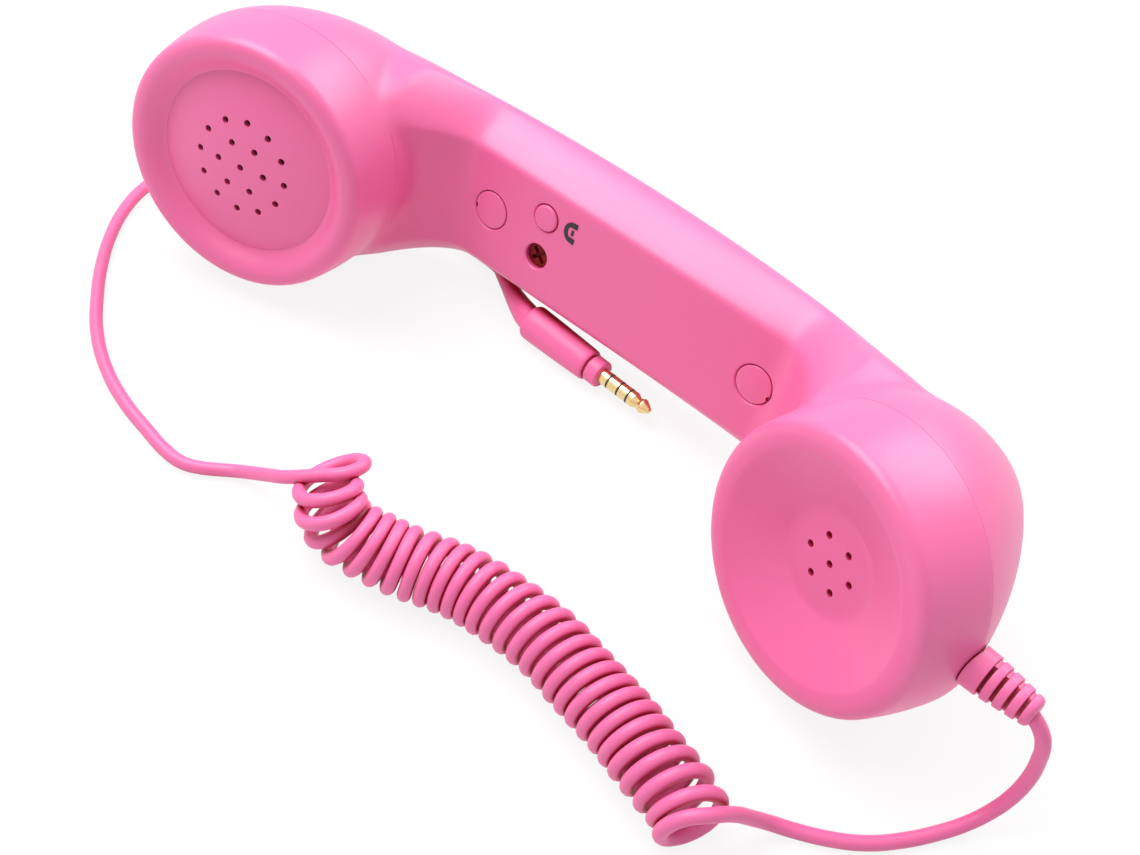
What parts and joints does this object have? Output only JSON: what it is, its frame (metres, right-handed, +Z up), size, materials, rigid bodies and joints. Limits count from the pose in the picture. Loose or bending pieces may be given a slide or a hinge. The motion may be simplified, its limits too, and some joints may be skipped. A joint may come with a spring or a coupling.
{
  "type": "telephone handset with jack plug",
  "caption": "Retro pink telephone handset lying on its side, with a curly cord ending in a four-pole jack plug for a mobile phone.",
  "frame": {"origin": "on the table, under the centre of the handset outline (the free cord and plug left out)", "axes": "+X along the handset from the earpiece to the mouthpiece, +Y from the open faces to the back of the handle, +Z up"},
  "size_m": [0.2377, 0.102, 0.0593],
  "materials": {
    "shell": "satin",
    "cord_plastic": "matte",
    "trimmer_red": "satin",
    "gold": "polished",
    "black_plastic": "matte",
    "white_plastic": "satin",
    "soft_black": "matte",
    "steel": "satin",
    "dark_steel": "matte",
    "cone_film": "matte",
    "board_green": "satin",
    "wire_red": "satin"
  },
  "bodies": {
    "handset": {"front_shell": "shell", "back_shell": "shell", "ear_grille": "shell", "ear_gasket": "soft_black", "speaker_frame": "steel", "speaker_cone": "cone_film", "speaker_magnet": "dark_steel", "speaker_retainer": "white_plastic", "microphone_boot": "soft_black", "microphone_capsule": "steel", "ballast_ring": "dark_steel", "circuit_board": "board_green", "board_chip": "black_plastic", "board_screw_ear_end": "steel", "board_screw_mouth_end": "steel", "tact_switch": "black_plastic", "trimmer_body": "white_plastic", "cap_ear_end": "shell", "cap_mouth_end": "shell", "screw_ear_end": "steel", "screw_mouth_end": "steel", "call_mark": "black_plastic", "speaker_wires": "wire_red", "microphone_wires": "wire_red", "cord_tail": "cord_plastic", "strain_relief": "cord_plastic", "cord_lead_mouth": "cord_plastic", "cord_coil": "cord_plastic", "cord_lead_plug": "cord_plastic", "plug_body": "cord_plastic", "plug_sleeve": "gold", "plug_ring_back": "gold", "plug_ring_front": "gold", "plug_tip": "gold", "plug_insulators": "black_plastic"},
    "button": {"call_button": "shell", "switch_plunger": "white_plastic"},
    "trimmer": {"trimmer_rotor": "trimmer_red"}
  },
  "joints": [
    {"name": "button_press", "type": "slide", "parent": "handset", "child": "button", "axis": [-0.0013, 0.9816, -0.1908], "range_m": [0, 0.0004], "stiffness_N_per_m": 2000, "springref_m": -0.0006},
    {"name": "trimmer_turn", "type": "hinge", "parent": "handset", "child": "trimmer", "pos_m": [-0.02606, 0.01558, 0.02063], "axis": [-0.0013, 0.9816, -0.1908], "range_deg": [-135, 135]}
  ]
}
